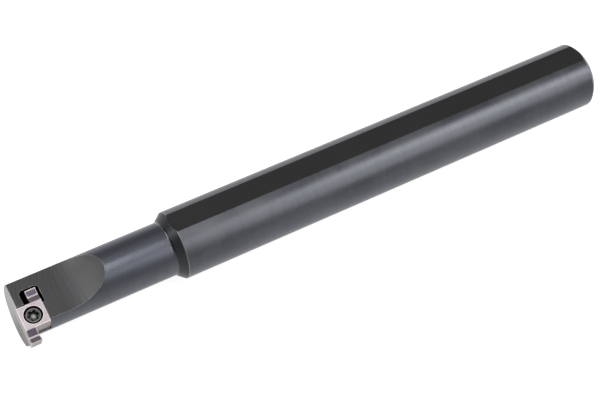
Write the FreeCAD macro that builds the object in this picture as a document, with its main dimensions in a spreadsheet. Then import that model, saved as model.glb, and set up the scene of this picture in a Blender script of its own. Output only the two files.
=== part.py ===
import FreeCAD, Part
import Sketcher
import math
import os

# Internal grooving bar: a round steel bar with a flatted shank, a slimmer neck and a milled head
# that holds a two-edged S-shaped insert under one countersunk six-lobe screw.
# Millimetres.  The bar lies along X with its rear end at the origin and its cutting end at -X.
# The shank's two clamping flats face +Z and -Z, and the cutting edge points to -Y at centre height.

os.makedirs("parts", exist_ok=True)
doc = FreeCAD.newDocument("grooving_bar")

# Driving dimensions
DIMS = {
    "bar_length": 150,          # front end face at centre height to rear end face
    "front_lean": 2.5,          # front end face, degrees further forward below
    "shank_dia": 16,
    "flat_depth": 0.5,          # each clamping flat: 15 mm is left across the two
    "shank_length": 111.9,      # rear end face to the top of the shoulder
    "rear_chamfer": 1,
    "neck_dia": 12.7,
    "shoulder_angle": 39,       # slope of the shoulder cone, degrees from the bar axis
    "shoulder_fillet": 0.5,     # where the neck runs into the shoulder
    "bore_dia": 16,             # smallest bore the head goes into
    "edge_offset": 9.5,         # bar axis to the cutting edge, sideways
    "head_tilt": 16,            # lean of the insert seat about the bar axis, degrees
    "insert_proud": 0.35,       # cutting edge corner ahead of the front end face
    "insert_recess": 0.05,      # top of the insert below the milled head face
    "ramp_start": 10.35,        # front end face to where the head face starts to rise
    "ramp_radius": 17,
    "nose_width": 1.35,         # blade of steel under the cutting tooth
    "nose_gap": 0.6,            # nose outline inside the smallest bore
    "nose_bevel": 39,           # lean of the nose below the tooth, degrees from upright
    "nose_step": 0.55,          # nose shorter than the foot of the tooth
    "tooth_width": 2.5,         # width of the groove it cuts
    "tooth_reach": 5.9,         # insert centre to either cutting edge
    "tooth_clearance": 8,       # front clearance of a tooth, degrees
    "body_half": 2.76,          # half height of the insert's square body
    "body_mid": 2.9,            # half width of the body across its centre
    "side_relief": 1.4,         # outer sides of the insert, degrees
    "inner_relief": 2,          # inner sides of the teeth, degrees
    "insert_thick": 3.6,
    "former_run": 1.45,         # chip former: length of the slope down from the body
    "former_depth": 0.85,
    "former_floor": 0.42,
    "edge_drop": 0.3,           # cutting edge below the top of the body
    "sink_dia": 4.2,            # mouth of the screw seat in the insert
    "sink_depth": 0.55,
    "sink_angle": 30,           # half angle of the screw seat
    "insert_hole": 2.8,
    "screw_dia": 2.5,
    "head_dia": 3.5,
    "head_below": 0.25,         # screw head below the top of the insert
    "screw_length": 6.3,
    "screw_tip": 0.35,
    "drive_core": 1.8,          # six-lobe recess: core diameter, lobe reach and lobe radius
    "drive_reach": 1.28,
    "lobe_radius": 0.31,
    "drive_depth": 1,
    "seat_gap": 0.02,           # insert to the two pocket walls it bears on
    "wall_relief": 0.22,        # step along the top of the far pocket wall
    "wall_relief_depth": 0.8,
    "screw_gap": 0.03,          # screw to its seat and to its tapped hole
    "relief_front": 1.85,       # clearance pocket round the spare tooth, from the front end face
    "relief_back": 6.3,
    "relief_far": 2.95,
    "relief_near": -1.3,
    "relief_corner": 0.9,
    "relief_end": 0.4,          # corner radius beside the back wall of the seat
    "relief_sink": 0.3,         # clearance pocket deeper than the insert seat
}
sheet = doc.addObject("Spreadsheet::Sheet", "dims")
for row, (alias, value) in enumerate(DIMS.items(), start=1):
    sheet.set(f"A{row}", alias)
    sheet.set(f"B{row}", str(value))
    sheet.setAlias(f"B{row}", alias)
doc.recompute()

# Positions that follow from the driving dimensions, written once for all the parts.
# "v" runs across the head in the leaning plane of the insert seat, "h" stands square to it.
FRONT = "-dims.bar_length"
BLANK_FRONT = f"({FRONT} - dims.bore_dia / 2 * tan(dims.front_lean))"
SHOULDER_RUN = "((dims.shank_dia - dims.neck_dia) / 2 / tan(dims.shoulder_angle))"
SHOULDER_FOOT = f"(-dims.shank_length - {SHOULDER_RUN})"
EDGE_V = "(-dims.edge_offset * cos(dims.head_tilt))"
EDGE_H = "(dims.edge_offset * sin(dims.head_tilt))"
MID_V = f"({EDGE_V} + dims.tooth_reach)"
TOP_H = f"({EDGE_H} + dims.edge_drop)"
FACE_H = f"({TOP_H} + dims.insert_recess)"
FLOOR_H = f"({TOP_H} - dims.insert_thick)"
TIP_OUT = "(dims.body_mid + dims.tooth_reach * tan(dims.side_relief))"
MID_X = f"(-dims.bar_length + {TIP_OUT} - dims.insert_proud)"
BORE_Y = "(dims.bore_dia / 2 - dims.edge_offset)"


def number(expression):
    return float(sheet.evalExpression(expression))


def new_body(name):
    body = doc.addObject("PartDesign::Body", name)
    body.Label = name
    return body


def origin_plane(body, role):
    for item in body.Origin.OriginFeatures:
        if item.Role == role:
            return item


def new_sketch(body, name, role, lean=False, height=None, along=None):
    """A sketch on one of the body's own planes, leaned about the bar axis and lifted if asked."""
    sketch = body.newObject("Sketcher::SketchObject", name)
    sketch.AttachmentSupport = (origin_plane(body, role), "")
    sketch.MapMode = "FlatFace"
    if lean:
        tilt = FreeCAD.Rotation(FreeCAD.Vector(1, 0, 0), number("dims.head_tilt"))
        sketch.AttachmentOffset = FreeCAD.Placement(FreeCAD.Vector(0, 0, 0), tilt)
        sketch.setExpression("AttachmentOffset.Rotation.Angle", "dims.head_tilt")
    if lean and height:
        sketch.setExpression("AttachmentOffset.Base.y", f"-{height} * sin(dims.head_tilt)")
        sketch.setExpression("AttachmentOffset.Base.z", f"{height} * cos(dims.head_tilt)")
    elif height:
        sketch.setExpression("AttachmentOffset.Base.z", height)
    elif along:
        sketch.setExpression("AttachmentOffset.Base.z", along)
    return sketch


def pin_point(sketch, geometry, end, x, y):
    """Holds one sketch point at the place that two expressions give."""
    for kind, axis, expression in (("DistanceX", -2, x), ("DistanceY", -1, y)):
        if expression == "0":
            sketch.addConstraint(Sketcher.Constraint("PointOnObject", geometry, end, axis))
        else:
            value = number(expression)
            rule = sketch.addConstraint(Sketcher.Constraint(kind, -1, 1, geometry, end, value))
            sketch.setExpression(f"Constraints[{rule}]", expression)


def add_outline(sketch, corners):
    """A closed run of straight edges through the corners."""
    points = [FreeCAD.Vector(number(x), number(y), 0) for x, y in corners]
    count = len(points)
    edges = [sketch.addGeometry(Part.LineSegment(points[i], points[(i + 1) % count]), False)
             for i in range(count)]
    for i, edge in enumerate(edges):
        after = edges[(i + 1) % count]
        sketch.addConstraint(Sketcher.Constraint("Coincident", edge, 2, after, 1))
        pin_point(sketch, edge, 1, *corners[i])
    return edges


def add_circle(sketch, x, y, radius):
    centre = FreeCAD.Vector(number(x), number(y), 0)
    ring = sketch.addGeometry(Part.Circle(centre, FreeCAD.Vector(0, 0, 1), number(radius)), False)
    pin_point(sketch, ring, 3, x, y)
    rule = sketch.addConstraint(Sketcher.Constraint("Radius", ring, number(radius)))
    sketch.setExpression(f"Constraints[{rule}]", radius)
    return ring


def new_feature(body, kind, name, profile, **settings):
    feature = body.newObject(kind, name)
    feature.Profile = profile
    for key, value in settings.items():
        setattr(feature, key, value)
    profile.Visibility = False
    return feature


def turned(body, kind, name, profile):
    """A full turn of the profile about the sketch's upright or level axis."""
    return new_feature(body, kind, name, profile, Angle=360)


def volume_of(body):
    doc.recompute()
    return body.Shape.Volume


def cut(body, name, profile, depth=None, both_ways=False, reverse=False):
    """A pocket that has to take material away."""
    before = volume_of(body)
    pocket = new_feature(body, "PartDesign::Pocket", name, profile)
    if depth:
        pocket.Type = "Length"
        pocket.setExpression("Length", depth)
    else:
        pocket.Type = "ThroughAll"
    pocket.Midplane = both_ways
    pocket.Reversed = reverse
    if not volume_of(body) < before - 1e-4:
        raise ValueError(f"{name} removes nothing")
    return pocket


# The bar: turned in one piece from the rear chamfer to the front end face
bar = new_body("bar")
profile = new_sketch(bar, "bar_profile", "XZ_Plane")
add_outline(profile, [
    ("0", "0"),
    ("0", "dims.shank_dia / 2 - dims.rear_chamfer"),
    ("-dims.rear_chamfer", "dims.shank_dia / 2"),
    ("-dims.shank_length", "dims.shank_dia / 2"),
    (SHOULDER_FOOT, "dims.neck_dia / 2"),
    (BLANK_FRONT, "dims.neck_dia / 2"),
    (BLANK_FRONT, "0"),
])
turned_bar = turned(bar, "PartDesign::Revolution", "turned_bar", profile)
turned_bar.ReferenceAxis = (profile, ["H_Axis"])
doc.recompute()

# A fillet eases the neck into the shoulder
root_x = number(SHOULDER_FOOT)
root_edges = [f"Edge{i}" for i, edge in enumerate(turned_bar.Shape.Edges, start=1)
              if edge.Curve.TypeId == "Part::GeomCircle" and abs(edge.Curve.Center.x - root_x) < 1e-3]
shoulder = bar.newObject("PartDesign::Fillet", "shoulder_root")
shoulder.Base = (turned_bar, root_edges)
shoulder.setExpression("Radius", "dims.shoulder_fillet")
doc.recompute()

# The nose: a thin blade at the very front that follows the smallest bore and carries the tooth
# on its upper side, bevelled away below it
TOOTH_FOOT_V = f"({EDGE_V} + ({TOP_H} - dims.edge_drop - {FLOOR_H}) * tan(dims.tooth_clearance))"
NOSE_V = f"({TOOTH_FOOT_V} + dims.nose_step)"
NOSE_Y = f"({NOSE_V} * cos(dims.head_tilt) - {FLOOR_H} * sin(dims.head_tilt))"
NOSE_Z = f"({NOSE_V} * sin(dims.head_tilt) + {FLOOR_H} * cos(dims.head_tilt))"
nose_sketch = new_sketch(bar, "nose_outline", "YZ_Plane", along=BLANK_FRONT)
NOSE_R = "(dims.bore_dia / 2 - dims.nose_gap)"
add_circle(nose_sketch, BORE_Y, "0", NOSE_R)
nose = new_feature(bar, "PartDesign::Pad", "nose", nose_sketch, Type="Length")
BLADE = f"{FRONT} + dims.nose_width - {BLANK_FRONT}"
nose.setExpression("Length", BLADE)
doc.recompute()

bevel_sketch = new_sketch(bar, "nose_bevel_outline", "YZ_Plane", along=BLANK_FRONT)
RISE = "dims.bore_dia"
add_outline(bevel_sketch, [
    (f"{NOSE_Y} - {RISE} * sin(dims.nose_bevel)", f"{NOSE_Z} + {RISE} * cos(dims.nose_bevel)"),
    (f"{NOSE_Y} + {RISE} * sin(dims.nose_bevel)", f"{NOSE_Z} - {RISE} * cos(dims.nose_bevel)"),
    (f"{NOSE_Y} - {RISE}", f"{NOSE_Z} - {RISE} * cos(dims.nose_bevel)"),
    (f"{NOSE_Y} - {RISE} * 2", f"{NOSE_Z} + {RISE} * cos(dims.nose_bevel)"),
])
cut(bar, "nose_bevel", bevel_sketch, BLADE, reverse=True)

# The front end face leans, so the blade stays close behind the side of the insert
front_sketch = new_sketch(bar, "front_face_outline", "XZ_Plane")
FRONT_RUN = "dims.bore_dia * tan(dims.front_lean)"
add_outline(front_sketch, [
    (f"{FRONT} + {FRONT_RUN}", "dims.bore_dia"),
    (f"{FRONT} - dims.bore_dia", "dims.bore_dia"),
    (f"{FRONT} - dims.bore_dia", "-dims.bore_dia"),
    (f"{FRONT} - {FRONT_RUN}", "-dims.bore_dia"),
])
cut(bar, "front_face", front_sketch, both_ways=True)

# Clamping flats along the whole shank
for name, side in (("top_flat", "1"), ("bottom_flat", "-1")):
    level = f"{side} * (dims.shank_dia / 2 - dims.flat_depth)"
    outline = new_sketch(bar, f"{name}_outline", "XY_Plane", height=level)
    add_outline(outline, [
        ("dims.shank_dia", "-dims.shank_dia"),
        ("dims.shank_dia", "dims.shank_dia"),
        ("-dims.shank_length - dims.shank_dia / 2", "dims.shank_dia"),
        ("-dims.shank_length - dims.shank_dia / 2", "-dims.shank_dia"),
    ])
    cut(bar, name, outline, reverse=(side == "1"))

# The milled head face: flat over the insert, then rising on a large radius out of the neck
ramp = new_sketch(bar, "head_face_outline", "XZ_Plane", lean=True)
RAMP_X = "-dims.bar_length + dims.ramp_start"
TOP = "dims.shank_dia"
RUN = f"sqrt(dims.ramp_radius * dims.ramp_radius - ({FACE_H} + dims.ramp_radius - {TOP})" \
      f" * ({FACE_H} + dims.ramp_radius - {TOP}))"
start = FreeCAD.Vector(number(RAMP_X), number(FACE_H), 0)
finish = FreeCAD.Vector(number(f"{RAMP_X} + {RUN}"), number(TOP), 0)
centre = FreeCAD.Vector(start.x, start.y + number("dims.ramp_radius"), 0)
middle_angle = (-math.pi / 2 + math.atan2(finish.y - centre.y, finish.x - centre.x)) / 2
outwards = FreeCAD.Vector(math.cos(middle_angle), math.sin(middle_angle), 0)
middle = centre + outwards * centre.sub(start).Length
front_low = FreeCAD.Vector(number(f"{FRONT} - 5"), start.y, 0)
front_high = FreeCAD.Vector(front_low.x, finish.y, 0)
face_line = ramp.addGeometry(Part.LineSegment(front_low, start), False)
face_arc = ramp.addGeometry(Part.Arc(start, middle, finish), False)
top_line = ramp.addGeometry(Part.LineSegment(finish, front_high), False)
front_line = ramp.addGeometry(Part.LineSegment(front_high, front_low), False)
ramp.addConstraint(Sketcher.Constraint("Coincident", face_line, 2, face_arc, 1))
ramp.addConstraint(Sketcher.Constraint("Coincident", face_arc, 2, top_line, 1))
ramp.addConstraint(Sketcher.Constraint("Coincident", top_line, 2, front_line, 1))
ramp.addConstraint(Sketcher.Constraint("Coincident", front_line, 2, face_line, 1))
pin_point(ramp, face_line, 1, f"{FRONT} - 5", FACE_H)
pin_point(ramp, face_line, 2, RAMP_X, FACE_H)
pin_point(ramp, face_arc, 3, RAMP_X, f"{FACE_H} + dims.ramp_radius")
pin_point(ramp, top_line, 2, f"{FRONT} - 5", TOP)
ramp.addConstraint(Sketcher.Constraint("Horizontal", top_line))
cut(bar, "head_face", ramp, both_ways=True)

# The insert seat: open to the front and to the cutting side, with a far wall and a back wall
seat = new_sketch(bar, "seat_outline", "XY_Plane", lean=True, height=FACE_H)
WALL_V = f"{MID_V} + dims.body_half + dims.seat_gap"
OUT_V = "-dims.bore_dia"
BACK_X = f"{MID_X} + dims.body_mid + dims.seat_gap"
add_outline(seat, [
    (f"{FRONT} - 5", OUT_V),
    (f"{BACK_X} + ({OUT_V} - {MID_V}) * tan(dims.side_relief)", OUT_V),
    (f"{BACK_X} + dims.body_half * tan(dims.side_relief)", WALL_V),
    (f"{FRONT} - 5", WALL_V),
])
SEAT_DEPTH = "dims.insert_recess + dims.insert_thick"
cut(bar, "insert_seat", seat, SEAT_DEPTH)

# A deeper pocket keeps the spare tooth and the corner of the body clear of the steel
relief = new_sketch(bar, "relief_outline", "XY_Plane", lean=True, height=FACE_H)
RELIEF_FRONT = f"{FRONT} + dims.relief_front"
RELIEF_BACK = f"{FRONT} + dims.relief_back"
add_outline(relief, [
    (RELIEF_FRONT, WALL_V),
    (f"{MID_X} + dims.body_mid / 2", WALL_V),
    (f"{MID_X} + dims.body_mid / 2", "dims.relief_near"),
    (RELIEF_BACK, "dims.relief_near"),
    (RELIEF_BACK, "dims.relief_far"),
    (RELIEF_FRONT, "dims.relief_far"),
])
relief_pocket = cut(bar, "spare_tooth_relief", relief, f"{SEAT_DEPTH} + dims.relief_sink")


def upright_edges(body, corners):
    """Names of the body's edges that stand square to the seat at the given x and v places."""
    places = [(number(x), number(v)) for x, v in corners]
    turn = math.radians(number("dims.head_tilt"))
    names = []
    for i, edge in enumerate(body.Shape.Edges, start=1):
        ends = [(end.X, end.Y * math.cos(turn) + end.Z * math.sin(turn)) for end in edge.Vertexes]
        if len(ends) == 2 and any(math.dist(end, place) < 1e-3 for place in places for end in ends):
            if math.dist(*ends) < 1e-3:
                names.append(f"Edge{i}")
    return names


def round_corners(name, base, corners, radius):
    fillet = bar.newObject("PartDesign::Fillet", name)
    fillet.Base = (base, upright_edges(bar, corners))
    fillet.setExpression("Radius", radius)
    doc.recompute()
    return fillet


far_corners = [(RELIEF_FRONT, "dims.relief_far"), (RELIEF_BACK, "dims.relief_far")]
far_rounds = round_corners("relief_far_corners", relief_pocket, far_corners, "dims.relief_corner")
end_corner = [(RELIEF_BACK, "dims.relief_near")]
round_corners("relief_end_corner", far_rounds, end_corner, "dims.relief_end")

# A narrow step along the top of the far pocket wall keeps the insert's upper edge clear of it
step = new_sketch(bar, "wall_relief_outline", "XY_Plane", lean=True, height=FACE_H)
add_outline(step, [
    (f"{FRONT} - 5", MID_V),
    (MID_X, MID_V),
    (MID_X, f"{WALL_V} + dims.wall_relief"),
    (f"{FRONT} - 5", f"{WALL_V} + dims.wall_relief"),
])
cut(bar, "wall_relief", step, "dims.wall_relief_depth")

# The tapped hole for the clamp screw, right through the head
tapped = new_sketch(bar, "tapped_hole_outline", "XY_Plane", lean=True, height=FACE_H)
add_circle(tapped, MID_X, MID_V, "dims.screw_dia / 2 + dims.screw_gap")
cut(bar, "tapped_hole", tapped)

# Placement of the insert and its screw: square to the leaning seat, over the tapped hole
tilt = FreeCAD.Rotation(FreeCAD.Vector(1, 0, 0), number("dims.head_tilt"))


def place_on_seat(body):
    body.Placement = FreeCAD.Placement(FreeCAD.Vector(0, 0, 0), tilt)
    body.setExpression("Placement.Base.x", MID_X)
    body.setExpression("Placement.Base.y",
                       f"{MID_V} * cos(dims.head_tilt) - {TOP_H} * sin(dims.head_tilt)")
    body.setExpression("Placement.Base.z",
                       f"{MID_V} * sin(dims.head_tilt) + {TOP_H} * cos(dims.head_tilt)")
    body.setExpression("Placement.Rotation.Angle", "dims.head_tilt")


# The grooving insert: a square body with one tooth at each end of a diagonal
insert = new_body("grooving_insert")
plan = new_sketch(insert, "insert_outline", "XY_Plane")
HALF = "dims.body_half"
REACH = "dims.tooth_reach"
LEAN = "tan(dims.side_relief)"
TIP_IN = f"({TIP_OUT} - dims.tooth_width)"
ROOT_IN = f"({TIP_IN} + (dims.tooth_reach - dims.body_half) * tan(dims.inner_relief))"
half_turn = [
    (TIP_OUT, REACH),
    (TIP_IN, REACH),
    (ROOT_IN, HALF),
    (f"-(dims.body_mid - dims.body_half * {LEAN})", HALF),
]
add_outline(plan, half_turn + [(f"-({x})", f"-({y})") for x, y in half_turn])
plate = new_feature(insert, "PartDesign::Pad", "insert_plate", plan, Type="Length", Reversed=True)
plate.setExpression("Length", "dims.insert_thick")
doc.recompute()

# Chip former and front clearance of one tooth, then the same again half a turn round
former = new_sketch(insert, "chip_former_outline", "YZ_Plane")
add_outline(former, [
    (HALF, "0"),
    (f"{HALF} + dims.former_run", "-dims.former_depth"),
    (f"{HALF} + dims.former_run + dims.former_floor", "-dims.former_depth"),
    (REACH, "-dims.edge_drop"),
    (f"{REACH} + 1", "-dims.edge_drop"),
    (f"{REACH} + 1", "1"),
    (HALF, "1"),
])
chip_former = cut(insert, "chip_former", former, both_ways=True)
clearance = new_sketch(insert, "clearance_outline", "YZ_Plane")
FOOT = f"{REACH} - (dims.insert_thick - dims.edge_drop) * tan(dims.tooth_clearance)"
add_outline(clearance, [
    (REACH, "-dims.edge_drop"),
    (FOOT, "-dims.insert_thick"),
    (FOOT, "-dims.insert_thick - 1"),
    (f"{REACH} + 1", "-dims.insert_thick - 1"),
    (f"{REACH} + 1", "-dims.edge_drop"),
])
front_clearance = cut(insert, "front_clearance", clearance, both_ways=True)
second_tooth = insert.newObject("PartDesign::PolarPattern", "second_tooth")
second_tooth.Originals = [chip_former, front_clearance]
second_tooth.Axis = (plan, ["N_Axis"])
second_tooth.Angle = 360
second_tooth.Occurrences = 2
insert.Tip = second_tooth
doc.recompute()

# Countersunk screw seat through the middle of the insert
SINK_R = "dims.sink_dia / 2"
HOLE_R = "dims.insert_hole / 2"
SINK_END = f"(dims.sink_depth + ({SINK_R} - {HOLE_R}) / tan(dims.sink_angle))"
sink = new_sketch(insert, "screw_seat_profile", "XZ_Plane")
add_outline(sink, [
    ("0", "1"),
    (SINK_R, "1"),
    (SINK_R, "-dims.sink_depth"),
    (HOLE_R, f"-{SINK_END}"),
    (HOLE_R, "-dims.insert_thick - 1"),
    ("0", "-dims.insert_thick - 1"),
])
before = volume_of(insert)
screw_seat = turned(insert, "PartDesign::Groove", "screw_seat", sink)
screw_seat.ReferenceAxis = (sink, ["V_Axis"])
if not volume_of(insert) < before:
    raise ValueError("screw_seat removes nothing")
place_on_seat(insert)

# The clamp screw: a countersunk head over a plain shank of the thread's outer diameter
screw = new_body("clamp_screw")
HEAD_R = "dims.head_dia / 2"
SCREW_R = "dims.screw_dia / 2"
SINK_SLOPE = "tan(dims.sink_angle)"
CONE_DROP = "dims.screw_gap / sin(dims.sink_angle)"
CONE_TOP = f"(dims.sink_depth + ({SINK_R} - {HEAD_R}) / {SINK_SLOPE} - {CONE_DROP})"
CONE_END = f"({CONE_TOP} + ({HEAD_R} - {SCREW_R}) / {SINK_SLOPE})"
END = "(dims.head_below + dims.screw_length)"
turning = new_sketch(screw, "screw_profile", "XZ_Plane")
add_outline(turning, [
    ("0", "-dims.head_below"),
    (HEAD_R, "-dims.head_below"),
    (HEAD_R, f"-{CONE_TOP}"),
    (SCREW_R, f"-{CONE_END}"),
    (SCREW_R, f"-{END} + dims.screw_tip"),
    (f"{SCREW_R} - dims.screw_tip", f"-{END}"),
    ("0", f"-{END}"),
])
screw_blank = turned(screw, "PartDesign::Revolution", "screw_blank", turning)
screw_blank.ReferenceAxis = (turning, ["V_Axis"])
doc.recompute()

# Six-lobe drive recess: a round core and one lobe, repeated six times
core = new_sketch(screw, "drive_core_outline", "XY_Plane", height="-dims.head_below")
add_circle(core, "0", "0", "dims.drive_core / 2")
cut(screw, "drive_core", core, "dims.drive_depth")
lobe = new_sketch(screw, "drive_lobe_outline", "XY_Plane", height="-dims.head_below")
add_circle(lobe, "dims.drive_reach - dims.lobe_radius", "0", "dims.lobe_radius")
first_lobe = cut(screw, "drive_lobe", lobe, "dims.drive_depth")
lobes = screw.newObject("PartDesign::PolarPattern", "drive_lobes")
lobes.Originals = [first_lobe]
lobes.Axis = (lobe, ["N_Axis"])
lobes.Angle = 360
lobes.Occurrences = 6
screw.Tip = lobes
place_on_seat(screw)
doc.recompute()

for item in doc.Objects:
    if {"Invalid", "Error"} & set(item.State):
        raise ValueError(f"{item.Name} did not build: {item.State}")
for body in (bar, insert, screw):
    if body.Shape.isNull() or not body.Shape.isValid():
        raise ValueError(f"{body.Name} has no valid shape")
    body.Shape.exportStep(f"parts/{body.Label}.step")
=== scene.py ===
import math

import bpy
import numpy as np
from mathutils import Matrix, Vector


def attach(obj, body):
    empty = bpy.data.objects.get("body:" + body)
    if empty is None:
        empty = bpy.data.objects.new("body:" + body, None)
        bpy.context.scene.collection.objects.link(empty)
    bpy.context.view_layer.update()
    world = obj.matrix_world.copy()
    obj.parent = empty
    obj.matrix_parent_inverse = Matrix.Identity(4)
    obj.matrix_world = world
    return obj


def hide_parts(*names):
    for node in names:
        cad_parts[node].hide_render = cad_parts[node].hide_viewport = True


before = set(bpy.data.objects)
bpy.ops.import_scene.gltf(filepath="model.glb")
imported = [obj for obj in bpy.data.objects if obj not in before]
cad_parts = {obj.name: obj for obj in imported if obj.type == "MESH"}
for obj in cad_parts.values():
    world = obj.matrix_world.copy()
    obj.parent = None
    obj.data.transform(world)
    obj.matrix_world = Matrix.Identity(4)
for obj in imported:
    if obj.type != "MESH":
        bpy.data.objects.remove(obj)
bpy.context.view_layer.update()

# The bar: one piece of alloy steel, turned down to the slimmer neck, then milled for the two
# clamping flats, the head face, the insert seat and its clearance pocket. It is hardened and
# chemically blacked all over, and only the front end face is ground bright again.
NECK_R = 6.35
SHANK_END = -111.9
FLAT_LEVEL = 7.5
FRONT_X = -150.0
FRONT_LEAN = math.radians(2.5)
SEAT_TILT = math.radians(16.0)
SEAT_ACROSS = (0.0, math.cos(SEAT_TILT), math.sin(SEAT_TILT))
SEAT_UP = (0.0, -math.sin(SEAT_TILT), math.cos(SEAT_TILT))
FACE_LEVEL = 2.96855
FACE_END = -139.65
RUN_OUT_R = 17.0
POCKET_END = -143.6
SEAT_MOUTH = -5.9
SHOULDER_FOOT = -113.94
NECK_BLUE_FROM = -127.0
NEAR_SIDE = (0.0, -0.407, 0.914)
FAR_SIDE = (0.0, 0.469, 0.883)
DOWN_FACE = (0.0, -0.7, -0.7)
CUTTER_R = 10.0
EDGE_ROUND = 0.12
EDGE_WEAR = 0.2
MARK_DEPTH = 0.004

BLACKED = (0.126, 0.132, 0.150)
BLACKED_THIN = (0.156, 0.161, 0.177)
NECK_BLACKED = (0.126, 0.134, 0.162)
CONE_PAINTED_SHADE = (0.060, 0.062, 0.068)
MILLED_BLACKED = (0.069, 0.069, 0.072)
MILLED_THIN = (0.089, 0.089, 0.091)
RUN_OUT_TONE = (0.100, 0.100, 0.102)
GROUND_STEEL = (0.41, 0.42, 0.40)
GROUND_DULL = (0.26, 0.27, 0.255)
GROUND_SHADE = (0.10, 0.102, 0.098)
WORN_STEEL_AND_GLINT = (0.42, 0.42, 0.41)
PAINTED_SHADE_BLACK = (0.006, 0.006, 0.007)


class Finish:
    """A finish worked out node by node from each point's own place on its piece, in millimetres."""

    def __init__(self, name):
        self.material = bpy.data.materials.new(name)
        self.material.use_nodes = True
        self.tree = self.material.node_tree
        self.tree.nodes.clear()
        point = self.tree.nodes.new("ShaderNodeTexCoord").outputs["Object"]
        self.place = self.vector("MULTIPLY", point, (1000.0, 1000.0, 1000.0))

    def wire(self, kind, inputs, output=0, **settings):
        """One more node; each of its inputs is a number, a colour or another node's output."""
        node = self.tree.nodes.new(kind)
        for key, value in settings.items():
            setattr(node, key, value)
        for key, value in inputs.items():
            if isinstance(value, bpy.types.NodeSocket):
                self.tree.links.new(value, node.inputs[key])
            else:
                node.inputs[key].default_value = value
        return node.outputs[output]

    def maths(self, operation, *values):
        return self.wire("ShaderNodeMath", dict(enumerate(values)), operation=operation)

    def vector(self, operation, *values, output=0):
        inputs = dict(enumerate(values))
        return self.wire("ShaderNodeVectorMath", inputs, output, operation=operation)

    def along(self, vector, direction):
        return self.vector("DOT_PRODUCT", vector, direction, output="Value")

    def axes(self):
        return [self.along(self.place, axis) for axis in ((1, 0, 0), (0, 1, 0), (0, 0, 1))]

    def distance(self, first, second):
        """The root of the two values' squares added up."""
        squares = [self.maths("MULTIPLY", value, value) for value in (first, second)]
        return self.maths("SQRT", self.maths("ADD", *squares))

    def rise(self, value, start, end, low=0.0, high=1.0):
        """A smooth step from low to high as the value goes from start to end."""
        inputs = {0: value, 1: start, 2: end, 3: low, 4: high}
        return self.wire("ShaderNodeMapRange", inputs, interpolation_type="SMOOTHSTEP")

    def line(self, value, at, half_width, peak=1.0):
        """The peak where the value meets the given one, falling smoothly to 0 at the half width."""
        away = self.maths("ABSOLUTE", self.maths("SUBTRACT", value, at))
        return self.rise(away, 0.0, half_width, peak, 0.0)

    def both(self, *masks):
        result = masks[0]
        for mask in masks[1:]:
            result = self.maths("MULTIPLY", result, mask)
        return result

    def grain(self, stretch, detail=2.0, place=None):
        """Noise with its own count of spots per millimetre along each axis."""
        spread = self.vector("MULTIPLY", place or self.place, stretch)
        return self.wire("ShaderNodeTexNoise", {"Vector": spread, "Scale": 1.0, "Detail": detail})

    def blend(self, mask, below, above):
        """One colour laid over another where the mask is 1."""
        colours = [(*c, 1.0) if isinstance(c, tuple) else c for c in (below, above)]
        inputs = {0: mask, 6: colours[0], 7: colours[1]}
        return self.wire("ShaderNodeMix", inputs, output=2, data_type="RGBA")

    def edges(self, radius, reach):
        """Normals rolled over every edge by the radius, and how near each point lies to an edge:
        how far normals rolled over the wider reach lean from the flat face."""
        rolled = self.wire("ShaderNodeBevel", {"Radius": radius / 1000.0}, samples=8)
        wide = self.wire("ShaderNodeBevel", {"Radius": reach / 1000.0}, samples=8)
        flat = self.wire("ShaderNodeNewGeometry", {}, output="True Normal")
        return rolled, self.maths("SUBTRACT", 1.0, self.along(wide, flat))

    def coat(self, relief, depth, normal, **sockets):
        """The finished surface, with its relief as deep as given, in millimetres."""
        bump = self.wire("ShaderNodeBump", {"Height": relief, "Strength": 1.0,
                                            "Distance": depth / 1000.0, "Normal": normal})
        inputs = {name.replace("_", " "): value for name, value in sockets.items()}
        surface = self.wire("ShaderNodeBsdfPrincipled", {**inputs, "Normal": bump})
        output = self.tree.nodes.new("ShaderNodeOutputMaterial")
        self.tree.links.new(surface, output.inputs["Surface"])
        return self.material


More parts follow.
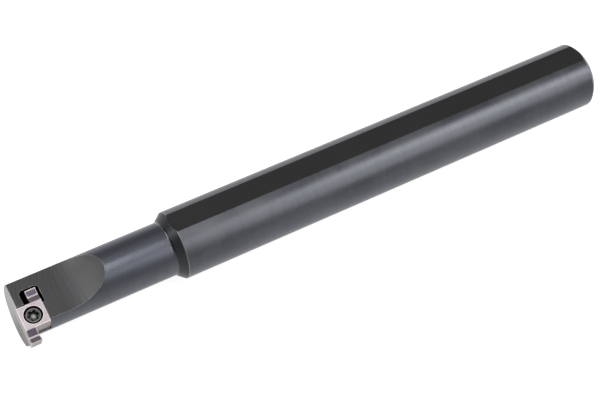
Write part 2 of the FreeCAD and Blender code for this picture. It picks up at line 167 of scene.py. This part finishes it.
def blacked_steel():
    """Rings on the turned faces, cutter arcs on the milled ones, bright steel at worn edges,
    painted shade and highlights.
    """
    f = Finish("blacked_steel")
    x, y, z = f.axes()
    radius = f.distance(y, z)
    across = f.along(f.place, SEAT_ACROSS)
    above = f.along(f.place, SEAT_UP)

    # Where each face lies
    flat = f.rise(f.maths("ABSOLUTE", z), FLAT_LEVEL - 0.04, FLAT_LEVEL - 0.01)
    flat_free = f.maths("SUBTRACT", 1.0, flat)
    past = f.maths("MAXIMUM", f.maths("SUBTRACT", x, FACE_END), 0.0)
    squares = f.maths("SUBTRACT", RUN_OUT_R ** 2, f.maths("MULTIPLY", past, past))
    chord = f.maths("SQRT", f.maths("MAXIMUM", squares, 0.0))
    level = f.maths("SUBTRACT", FACE_LEVEL + RUN_OUT_R, chord)
    height = f.maths("SUBTRACT", above, level)
    head_face = f.line(height, 0.0, 0.05)
    front_at = f.maths("ADD", f.maths("MULTIPLY", z, math.tan(FRONT_LEAN)), FRONT_X)
    ahead = f.maths("SUBTRACT", x, front_at)
    front = f.rise(ahead, 0.01, 0.03, 1.0, 0.0)
    inside = f.both(f.rise(height, -0.06, -0.02, 1.0, 0.0),
                    f.rise(radius, NECK_R - 0.15, NECK_R - 0.05, 1.0, 0.0))
    pocket = f.both(inside, f.rise(x, POCKET_END, POCKET_END + 0.1, 1.0, 0.0),
                    f.rise(across, SEAT_MOUTH, SEAT_MOUTH + 0.1), f.maths("SUBTRACT", 1.0, front))
    milled = f.maths("MAXIMUM", flat, head_face)
    faced = f.maths("MAXIMUM", front, f.rise(x, -0.03, -0.01))

    # Marks of the tools, one pattern for each way of cutting
    rings = f.grain((6.0, 0.02, 0.02), 3.0)
    bands = f.grain((1.1, 0.03, 0.03), 2.0)
    sweep = f.maths("SUBTRACT", CUTTER_R ** 2, f.maths("MULTIPLY", across, across))
    sweep = f.maths("SQRT", sweep)
    arc_place = f.wire("ShaderNodeCombineXYZ", {0: f.maths("ADD", x, sweep), 1: 0.0, 2: 0.0})
    arcs = f.grain((2.6, 1.0, 1.0), 4.0, arc_place)
    ring_place = f.wire("ShaderNodeCombineXYZ", {0: radius, 1: 0.0, 2: 0.0})
    facing_rings = f.grain((5.0, 1.0, 1.0), 3.0, ring_place)
    cloud = f.grain((0.11, 0.16, 0.16), 4.0)
    mottle = f.grain((0.9, 0.9, 0.9), 4.0)
    pores = f.grain((11.0, 11.0, 11.0), 2.0)

    # Colour: the blacking is thinner in clouds and along the cutting marks, with painted shade and
    # highlights
    thin = f.maths("ADD", f.maths("MULTIPLY", cloud, 0.75), f.maths("MULTIPLY", bands, 0.25))
    neck = f.both(f.rise(x, SHOULDER_FOOT - 0.6, SHOULDER_FOOT, 1.0, 0.0),
                  f.rise(x, NECK_BLUE_FROM - 8.0, NECK_BLUE_FROM), f.rise(z, 0.0, 4.0))
    colour = f.blend(f.rise(thin, 0.35, 0.68), BLACKED, BLACKED_THIN)
    colour = f.blend(f.maths("MULTIPLY", neck, 0.9), colour, NECK_BLACKED)
    milled_tone = f.blend(f.rise(arcs, 0.3, 0.7), MILLED_BLACKED, MILLED_THIN)
    run_out = f.rise(x, FACE_END + 1.0, FACE_END + 5.0, 0.0, 0.8)
    milled_tone = f.blend(run_out, milled_tone, RUN_OUT_TONE)
    milled_tone = f.blend(flat, milled_tone, MILLED_BLACKED)
    colour = f.blend(milled, colour, milled_tone)
    ground_tone = f.blend(f.rise(mottle, 0.3, 0.75, 0.0, 0.7), GROUND_STEEL, GROUND_DULL)
    down_face = f.along(f.place, DOWN_FACE)
    ground_tone = f.blend(f.rise(down_face, -0.5, 4.6, 0.0, 0.95), ground_tone, GROUND_SHADE)
    colour = f.blend(front, colour, ground_tone)
    # Painted shade: the shoulder's cone is painted darker than the blacking round it
    cone = f.both(f.rise(x, SHOULDER_FOOT, SHOULDER_FOOT + 0.3),
                  f.rise(x, SHANK_END - 0.12, SHANK_END - 0.02, 1.0, 0.0))
    colour = f.blend(cone, colour, CONE_PAINTED_SHADE)
    # Painted shadow: a near-black line along the near side of the shoulder's foot
    near_side = f.rise(f.along(f.place, NEAR_SIDE), 5.5, 6.1)
    painted_foot_shadow = f.both(near_side, f.line(x, SHOULDER_FOOT + 0.15, 0.2, 0.95))
    colour = f.blend(painted_foot_shadow, colour, PAINTED_SHADE_BLACK)
    # Painted highlights: a bright line on the far side of the shoulder's foot and a ring at the
    # shoulder's edge
    far_side = f.rise(f.along(f.place, FAR_SIDE), 5.4, 6.0)
    painted_glint = f.maths("MAXIMUM", f.both(far_side, f.line(x, SHOULDER_FOOT - 0.15, 0.2, 0.6)),
                     f.both(flat_free, f.line(x, SHANK_END, 0.14, 0.6)))
    colour = f.blend(painted_glint, colour, WORN_STEEL_AND_GLINT)
    rolled, lean = f.edges(EDGE_ROUND, EDGE_WEAR)
    # Worn bright steel along the edges, which also stands in for the glint on their rounding
    edge_wear_and_glint = f.both(f.rise(lean, 0.006, 0.05), f.rise(mottle, 0.38, 0.62, 0.25, 0.85))
    colour = f.blend(edge_wear_and_glint, colour, WORN_STEEL_AND_GLINT)
    # Painted shade: the clearance pocket is painted near black
    colour = f.blend(pocket, colour, PAINTED_SHADE_BLACK)

    # Gloss follows the same marks
    rough = f.maths("ADD", f.rise(cloud, 0.3, 0.7, 0.27, 0.34),
                    f.rise(rings, 0.2, 0.8, -0.04, 0.06))
    rough = f.maths("ADD", rough, f.maths("MULTIPLY", milled, 0.12))
    rough = f.maths("SUBTRACT", rough, f.line(x, SHOULDER_FOOT - 0.1, 0.6, 0.14))
    rough = f.maths("ADD", rough, f.maths("MULTIPLY", pocket, 0.35))
    cut_marks = f.wire("ShaderNodeMix", {0: milled, 2: rings, 3: arcs})
    cut_marks = f.wire("ShaderNodeMix", {0: faced, 2: cut_marks, 3: facing_rings})
    relief = f.maths("ADD", cut_marks, f.maths("MULTIPLY", pores, 0.35))
    return f.coat(relief, MARK_DEPTH, rolled, Base_Color=colour, Metallic=0.92, Roughness=rough)


def dress(name, material):
    """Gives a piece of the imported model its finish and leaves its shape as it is."""
    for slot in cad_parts[name].material_slots:
        slot.material = material


dress("bar", blacked_steel())

# The grooving insert: fine-grain carbide, pressed, sintered and ground, under a thin violet
# coating. It lies loose in its seat until the screw pulls it against the far and back walls,
# and half a turn brings the second tooth into use.
INSERT_MIDDLE = (-147.3058, -3.23199, 2.91855)
BODY_HALF = 2.76
SINK_R = 2.1
FORMER_RUN = 1.45
FORMER_DEPTH = 0.85
FORMER_FLOOR = 0.42
TOOTH_REACH = 5.9
EDGE_DROP = 0.3
HONE = 0.07
HONE_HIGHLIGHT_REACH = 0.42
GRIND_DEPTH = 0.0025

TOP_COAT = (0.55, 0.475, 0.515)
TOP_COAT_PALE = (0.64, 0.565, 0.59)
FORMER_COAT = (0.155, 0.122, 0.175)
FORMER_COAT_PALE = (0.21, 0.165, 0.225)
FORMER_LIT_FACE = (0.31, 0.25, 0.28)
SPARE_LIT_FACE = (0.44, 0.35, 0.39)
FLANK_COAT = (0.40, 0.36, 0.345)
FLANK_COAT_PALE = (0.45, 0.41, 0.39)
PALE_PAINTED_HIGHLIGHT = (0.97, 0.90, 0.90)
SINK_PAINTED_SHADE = (0.012, 0.011, 0.013)


def from_insert_middle(f):
    """Each point's place along the bar, across the seat and above the insert's top."""
    places = [f.along(f.place, axis) for axis in ((1, 0, 0), SEAT_ACROSS, SEAT_UP)]
    return [f.maths("SUBTRACT", *pair) for pair in zip(places, INSERT_MIDDLE)]


def coated_carbide():
    """Violet on the chip formers, pink on the top, straw on the ground flanks, painted highlights
    on the honed edges.
    """
    f = Finish("coated_carbide")
    along_bar, across, above_top = from_insert_middle(f)
    out = f.maths("ABSOLUTE", across)

    # Level of the chip former at each distance from the middle: down, level, then up to the edge
    down = f.rise(out, BODY_HALF, BODY_HALF + FORMER_RUN, 0.0, -FORMER_DEPTH)
    down.node.interpolation_type = "LINEAR"
    floor_end = BODY_HALF + FORMER_RUN + FORMER_FLOOR
    up = f.rise(out, floor_end, TOOTH_REACH, 0.0, FORMER_DEPTH - EDGE_DROP)
    up.node.interpolation_type = "LINEAR"
    former_level = f.maths("ADD", down, up)
    former = f.both(f.line(above_top, former_level, 0.05),
                    f.rise(out, BODY_HALF + 0.03, BODY_HALF + 0.08))
    top = f.both(f.rise(above_top, -0.03, -0.01),
                 f.rise(out, BODY_HALF - 0.02, BODY_HALF + 0.02, 1.0, 0.0))
    sink = f.both(f.rise(f.distance(along_bar, across), SINK_R + 0.01, SINK_R + 0.04, 1.0, 0.0),
                  f.rise(above_top, -0.05, -0.03, 1.0, 0.0))

    cloud = f.grain((0.5, 0.5, 0.5), 3.0)
    grind = f.grain((14.0, 0.6, 1.5), 2.0)
    specks = f.grain((16.0, 16.0, 16.0), 2.0)
    colour = f.blend(f.rise(grind, 0.25, 0.75), FLANK_COAT, FLANK_COAT_PALE)
    colour = f.blend(top, colour, f.blend(f.rise(cloud, 0.3, 0.7), TOP_COAT, TOP_COAT_PALE))
    former_tone = f.blend(f.rise(cloud, 0.3, 0.7), FORMER_COAT, FORMER_COAT_PALE)
    # Painted light: chip-former faces turned towards the far side of the seat are painted paler, as
    # if lit
    flat_normal = f.wire("ShaderNodeNewGeometry", {}, output="True Normal")
    away = f.rise(f.along(flat_normal, SEAT_ACROSS), 0.2, 0.4, 0.0, 0.8)
    lit_face_tone = f.blend(f.rise(across, -1.0, 1.0), FORMER_LIT_FACE, SPARE_LIT_FACE)
    former_tone = f.blend(away, former_tone, lit_face_tone)
    colour = f.blend(former, colour, former_tone)
    floor_middle = floor_end - FORMER_FLOOR / 2
    # Painted highlight: a pale band down the middle of each chip former's floor
    land_highlight = f.both(former, f.line(out, floor_middle, FORMER_FLOOR * 0.6, 0.55))
    colour = f.blend(land_highlight, colour, PALE_PAINTED_HIGHLIGHT)
    rolled, lean = f.edges(HONE, HONE_HIGHLIGHT_REACH)
    # Painted highlight: the pale tone along the honed edges
    edge_highlight = f.both(f.rise(lean, 0.01, 0.08), f.rise(specks, 0.3, 0.6, 0.7, 1.0))
    colour = f.blend(edge_highlight, colour, PALE_PAINTED_HIGHLIGHT)
    # Painted shade: the countersink's wall round the screw is painted near black
    colour = f.blend(sink, colour, SINK_PAINTED_SHADE)
    rough = f.maths("ADD", f.rise(cloud, 0.3, 0.7, 0.30, 0.38), f.maths("MULTIPLY", sink, 0.3))
    relief = f.maths("ADD", specks, f.maths("MULTIPLY", grind, 0.4))
    return f.coat(relief, GRIND_DEPTH, rolled, Base_Color=colour, Metallic=0.75, Roughness=rough)


dress("grooving_insert", coated_carbide())

# The clamp screw: cold-headed alloy steel with a six-lobe recess and a rolled thread, blackened
# by its oil quench. Its cone seats in the insert and its thread runs into the head of the bar.
HEAD_R = 1.75
HEAD_TOP = -0.25
RIM_ROUND = 0.12
CONE_TOP = -1.0962
CONE_FOOT = -1.9622
THREAD_R = 1.235
THREAD_DEPTH = 0.22
PITCH = 0.45
THREAD_START = -2.15
SCREW_END = -6.55
TIP_R = 0.9
DRIVE_CORE_R = 0.9
DRIVE_LOBE_R = 0.31
DRIVE_LOBE_AT = 0.97
DRIVE_FLOOR = -1.2
DRIVE_DISH = 0.12
DRIVE_TAPER = 0.02
DRIVE_MOUTH = 0.07
TIP_RUN = 0.3
SCALE_DEPTH = 0.004
ROUND_STEPS = 192
QUENCHED = (0.060, 0.061, 0.057)
QUENCHED_PALE = (0.105, 0.105, 0.098)
SCREW_PAINTED_HIGHLIGHT = (0.34, 0.34, 0.32)


def six_lobe_outline(angle):
    """The drive's radius at each angle: the core's circle, or a lobe's circle where that reaches
    further out, softened by averaging each value with its neighbours."""
    turn = (angle + math.pi / 6) % (math.pi / 3) - math.pi / 6
    inside = np.maximum(DRIVE_LOBE_R ** 2 - (DRIVE_LOBE_AT * np.sin(turn)) ** 2, 0.0)
    lobe = np.where(inside > 0, DRIVE_LOBE_AT * np.cos(turn) + np.sqrt(inside), 0.0)
    outline = np.maximum(DRIVE_CORE_R, lobe)
    return sum(np.roll(outline, shift) for shift in range(-3, 4)) / 7


def screw_surface():
    """Radius and height of the screw for every angle, row by row from the middle of the drive's
    floor, up its wall, over the head, down the cone and the thread to the middle of the tip.
    The thread's radius is a V that moves down one pitch for each turn of the angle."""
    angle = np.linspace(0.0, 2 * math.pi, ROUND_STEPS, endpoint=False)
    drive = six_lobe_outline(angle)
    floor_part = np.linspace(0.08, 1.0, 6)[:, None]
    radii = [drive * floor_part]
    heights = [DRIVE_FLOOR + DRIVE_DISH * floor_part ** 2 + 0 * drive]
    wall_part = np.linspace(0.0, 1.0, 8)[:, None]
    wall_foot = DRIVE_FLOOR + DRIVE_DISH
    radii.append(drive * (1.0 + DRIVE_TAPER * wall_part))
    heights.append(wall_foot + (HEAD_TOP - DRIVE_MOUTH - wall_foot) * wall_part + 0 * drive)
    mouth_part = np.linspace(0.0, 1.0, 4)[:, None]
    wall_top = drive * (1.0 + DRIVE_TAPER)
    radii.append(wall_top + DRIVE_MOUTH * mouth_part)
    heights.append(HEAD_TOP - DRIVE_MOUTH * (1.0 - mouth_part) ** 2 + 0 * drive)
    top_part = np.linspace(0.1, 1.0, 5)[:, None]
    mouth = wall_top + DRIVE_MOUTH
    radii.append(mouth + (HEAD_R - RIM_ROUND - mouth) * top_part)
    heights.append(HEAD_TOP + 0 * drive * top_part)
    rim = np.linspace(0.15, 1.0, 6)[:, None] * math.pi / 2
    radii.append(HEAD_R - RIM_ROUND + RIM_ROUND * np.sin(rim) + 0 * drive)
    heights.append(HEAD_TOP - RIM_ROUND + RIM_ROUND * np.cos(rim) + 0 * drive)
    outline = np.array([(HEAD_R, CONE_TOP + 0.05), (HEAD_R - 0.02, CONE_TOP - 0.04),
                        (THREAD_R + 0.015, CONE_FOOT + 0.03), (THREAD_R - 0.05, CONE_FOOT - 0.03)])
    radii.append(outline[:, :1] + 0 * drive)
    heights.append(outline[:, 1:] + 0 * drive)
    down = np.linspace(THREAD_START, SCREW_END + TIP_RUN, 130)[:, None]
    wave = np.abs(((down / PITCH + angle / (2 * math.pi)) % 1.0) * 2 - 1)
    profile = np.clip(wave * 1.25 - 0.1, 0.0, 1.0)
    fade = np.clip((THREAD_START - down) / PITCH, 0.0, 1.0)
    radii.append(THREAD_R - THREAD_DEPTH * (1.0 - profile * fade))
    heights.append(down + 0 * drive)
    tip_part = np.linspace(0.25, 1.0, 4)[:, None]
    last = radii[-1][-1]
    radii.append(last + (TIP_R - last) * tip_part)
    heights.append(SCREW_END + TIP_RUN * (1.0 - tip_part) + 0 * drive)
    radii.append(TIP_R * np.linspace(0.8, 0.2, 4)[:, None] + 0 * drive)
    heights.append(SCREW_END + 0 * drive * np.ones((4, 1)))
    return angle, np.concatenate(radii), np.concatenate(heights)


def closed_tube(name, points, first_pole, last_pole):
    """A mesh from rows of points round a closed tube, with a fan to a pole at either end."""
    rows, count = points.shape[:2]
    row, step = np.meshgrid(np.arange(rows - 1), np.arange(count), indexing="ij")
    after = (step + 1) % count
    quads = np.stack([row * count + step, (row + 1) * count + step,
                      (row + 1) * count + after, row * count + after], axis=-1).reshape(-1, 4)
    around = np.arange(count)
    onward = (around + 1) % count
    first = rows * count
    fan = np.stack([first + 0 * around, around, onward], axis=-1)
    end = (rows - 1) * count
    tail = np.stack([end + around, first + 1 + 0 * around, end + onward], axis=-1)
    places = np.concatenate([points.reshape(-1, 3), [first_pole, last_pole]])
    mesh = bpy.data.meshes.new(name)
    mesh.from_pydata(places.tolist(), [], quads.tolist() + fan.tolist() + tail.tolist())
    mesh.shade_smooth()
    piece = bpy.data.objects.new(name, mesh)
    bpy.context.collection.objects.link(piece)
    return piece


def on_the_seat(local):
    """Turns places on the insert, measured from its middle and its top, into places on the bar."""
    axes = np.array([(1.0, 0.0, 0.0), SEAT_ACROSS, SEAT_UP])
    return (local + np.array(INSERT_MIDDLE)) @ axes / 1000.0


angle, radii, heights = screw_surface()
grid = np.stack([radii * np.cos(angle), radii * np.sin(angle), heights], axis=-1)
poles = np.array([(0.0, 0.0, DRIVE_FLOOR), (0.0, 0.0, SCREW_END)])
clamp_screw = closed_tube("six_lobe_screw", on_the_seat(grid), *on_the_seat(poles))


def quenched_screw_steel():
    """Dark down the thread, with painted shade in the drive's lobes and round the side of the head,
    and painted highlights on the drive's floor, round the top of the head and along its edges."""
    f = Finish("quenched_screw_steel")
    along_bar, across, above_top = from_insert_middle(f)
    out = f.distance(along_bar, across)
    cloud = f.grain((1.4, 1.4, 1.4), 3.0)
    scale = f.grain((9.0, 9.0, 9.0), 3.0)
    colour = f.blend(f.rise(cloud, 0.3, 0.7), QUENCHED, QUENCHED_PALE)
    # Painted highlight: a pale ring just inside the edge of the head's top
    rim = f.both(f.line(out, HEAD_R - 0.22, 0.12), f.rise(scale, 0.35, 0.6, 0.3, 0.9))
    colour = f.blend(rim, colour, SCREW_PAINTED_HIGHLIGHT)
    side_wall = f.rise(out, HEAD_R - 0.10, HEAD_R - 0.03)
    deep = f.rise(above_top, HEAD_TOP - 0.3, HEAD_TOP - 0.05, 1.0, 0.0)
    # Painted reflection: the middle of the drive's floor is painted pale
    floor_highlight = f.both(deep, f.rise(out, 0.2, 0.7, 1.0, 0.0),
                        f.rise(scale, 0.35, 0.6, 0.7, 1.0))
    colour = f.blend(floor_highlight, colour, SCREW_PAINTED_HIGHLIGHT)
    # Painted shade: the drive's lobes are painted near black
    colour = f.blend(f.both(deep, f.rise(out, 0.55, 0.85)), colour, SINK_PAINTED_SHADE)
    rough = f.rise(scale, 0.25, 0.75, 0.26, 0.42)
    rolled, lean = f.edges(0.04, 0.08)
    # Painted highlight along the rounded edges
    colour = f.blend(f.rise(lean, 0.02, 0.1, 0.0, 0.5), colour, SCREW_PAINTED_HIGHLIGHT)
    # Painted shade: the side of the head, down in the countersink, is painted near black
    colour = f.blend(side_wall, colour, SINK_PAINTED_SHADE)
    return f.coat(scale, SCALE_DEPTH, rolled, Base_Color=colour, Metallic=0.95, Roughness=rough)


clamp_screw.data.materials.append(quenched_screw_steel())
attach(clamp_screw, "screw")
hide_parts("clamp_screw")

# The studio: a white paper sweep under the bar, a pale surround that is dim overhead, and six
# soft boxes: past the head, over its run-out, over it, over the neck and two along the shank.
FLOOR_REACH = 3.0
PAPER_LEVEL = -0.00751
PAPER_GREY = 0.35
PAPER_GLOW = 0.90
FAR_GLOW = 0.18
MIDDLE_GLOW = 0.38
CLOSE_GLOW = 0.66
MIDDLE_STEP = (-60.0, -20.0)
CLOSE_STEP = (-20.0, -9.0)


def paper_sweep():
    """Matte paper that keeps the bar's shadow. The camera sees it white, and glossy faces see it
    white below them and greyer out towards the cutting side."""
    f = Finish("paper_sweep")
    path = f.tree.nodes.new("ShaderNodeLightPath")
    side = f.along(f.place, (0, 1, 0))
    reflected = f.maths("ADD", f.rise(side, *MIDDLE_STEP, FAR_GLOW, MIDDLE_GLOW),
                        f.rise(side, *CLOSE_STEP, 0.0, CLOSE_GLOW - MIDDLE_GLOW))
    reflected = f.maths("MULTIPLY", path.outputs["Is Glossy Ray"], reflected)
    seen = f.maths("MULTIPLY", path.outputs["Is Camera Ray"], PAPER_GLOW)
    mottle = f.grain((0.02, 0.02, 0.02), 3.0)
    paper = f.blend(mottle, (PAPER_GREY,) * 3, (PAPER_GREY + 0.02,) * 3)
    matte = f.wire("ShaderNodeBsdfDiffuse", {"Color": paper})
    glow = f.wire("ShaderNodeEmission", {"Strength": f.maths("ADD", reflected, seen)})
    output = f.tree.nodes.new("ShaderNodeOutputMaterial")
    f.tree.links.new(f.wire("ShaderNodeAddShader", {0: matte, 1: glow}), output.inputs["Surface"])
    return f.material


floor_mesh = bpy.data.meshes.new("floor")
corners = np.array([(-1, -1), (1, -1), (1, 1), (-1, 1)]) * FLOOR_REACH
floor_mesh.from_pydata([(a, b, PAPER_LEVEL) for a, b in corners], [], [(0, 1, 2, 3)])
floor_mesh.materials.append(paper_sweep())
floor = bpy.data.objects.new("floor", floor_mesh)
bpy.context.collection.objects.link(floor)

NEAR_TONES = (0.40, 0.26)
FAR_TONES = (0.92, 0.28)
world = bpy.data.worlds.new("surround")
bpy.context.scene.world = world
world.use_nodes = True
sky = world.node_tree
background = sky.nodes["Background"]
background.inputs["Color"].default_value = (1, 1, 1, 1)
direction = sky.nodes.new("ShaderNodeTexCoord")
parts = sky.nodes.new("ShaderNodeSeparateXYZ")
sky.links.new(direction.outputs["Generated"], parts.inputs[0])


def sky_step(part, start, end, low, high):
    """A smooth step of the surround's tone along one axis of the view direction."""
    step = sky.nodes.new("ShaderNodeMapRange")
    step.interpolation_type = "SMOOTHSTEP"
    sky.links.new(parts.outputs[part], step.inputs[0])
    for socket, value in zip(step.inputs[1:5], (start, end, low, high)):
        socket.default_value = value
    return step.outputs[0]


def sky_mix(factor, first, second):
    """One tone going over into another by the factor."""
    mix = sky.nodes.new("ShaderNodeMix")
    inputs = (mix.inputs[0], mix.inputs[2], mix.inputs[3])
    for socket, value in zip(inputs, (factor, first, second)):
        if isinstance(value, bpy.types.NodeSocket):
            sky.links.new(value, socket)
        else:
            socket.default_value = value
    return mix.outputs[0]


near_tone = sky_step("Z", 0.02, 0.40, *NEAR_TONES)
far_tone = sky_step("Z", 0.02, 0.45, *FAR_TONES)
tone = sky_mix(sky_step("Y", -0.25, 0.25, 0.0, 1.0), near_tone, far_tone)
to_camera = sky.nodes.new("ShaderNodeLightPath").outputs["Is Camera Ray"]
sky.links.new(sky_mix(to_camera, tone, 1.0), background.inputs["Strength"])
BOX_DISTANCE = 0.45


def soft_box(name, start, end, depth, level):
    """A flat light from one end to the other, each given by its place along the bar and its
    elevation seen from the cutting side, facing the bar's axis."""
    ends = []
    for along_bar, elevation in (start, end):
        turn = math.radians(elevation)
        spot = (along_bar, -BOX_DISTANCE * math.cos(turn), BOX_DISTANCE * math.sin(turn))
        ends.append(Vector(spot))
    middle = (ends[0] + ends[1]) / 2
    long_axis = (ends[1] - ends[0]).normalized()
    away = Vector((0.0, middle.y, middle.z))
    away = (away - away.dot(long_axis) * long_axis).normalized()
    light = bpy.data.lights.new(name, "AREA")
    light.shape = "RECTANGLE"
    light.size = (ends[1] - ends[0]).length
    light.size_y = depth
    light.energy = level * math.pi * light.size * depth
    lamp = bpy.data.objects.new(name, light)
    bpy.context.collection.objects.link(lamp)
    facing = Matrix((long_axis, away.cross(long_axis), away)).transposed().to_4x4()
    lamp.matrix_world = Matrix.Translation(middle) @ facing


soft_box("box_past_head", (-0.95, 108.0), (-0.47, 108.0), 0.25, 1.6)
soft_box("box_over_run_out", (-0.45, 102.0), (-0.21, 102.0), 0.25, 2.4)
soft_box("box_over_head", (-0.19, 100.0), (-0.03, 100.0), 0.24, 0.78)
soft_box("box_over_neck", (-0.13, 74.0), (-0.03, 72.0), 0.22, 4.0)
soft_box("box_along_shank", (0.0, 27.0), (0.36, 52.0), 0.38, 1.35)
soft_box("box_beside_shank", (0.10, 50.0), (0.36, 52.0), 0.14, 1.7)

# The camera stands where the photograph was taken from, with the same long lens and no shift.
CAMERA_AT = Vector((-0.200908, -0.208819, 0.265514))
RIGHT = Vector((0.865682, -0.500585, 0.003123))
UP = Vector((0.370189, 0.644358, 0.669151))
BACK = Vector((-0.336979, -0.578116, 0.743120))
camera_data = bpy.data.cameras.new("camera")
camera_data.sensor_width = 36.0
camera_data.lens = 93.3279
camera_data.clip_start = 0.01
camera_data.clip_end = 20.0
camera = bpy.data.objects.new("camera", camera_data)
bpy.context.collection.objects.link(camera)
turned = Matrix((RIGHT, UP, BACK)).transposed().to_4x4()
camera.matrix_world = Matrix.Translation(CAMERA_AT) @ turned
bpy.context.scene.camera = camera
bpy.context.scene.view_settings.view_transform = "Standard"
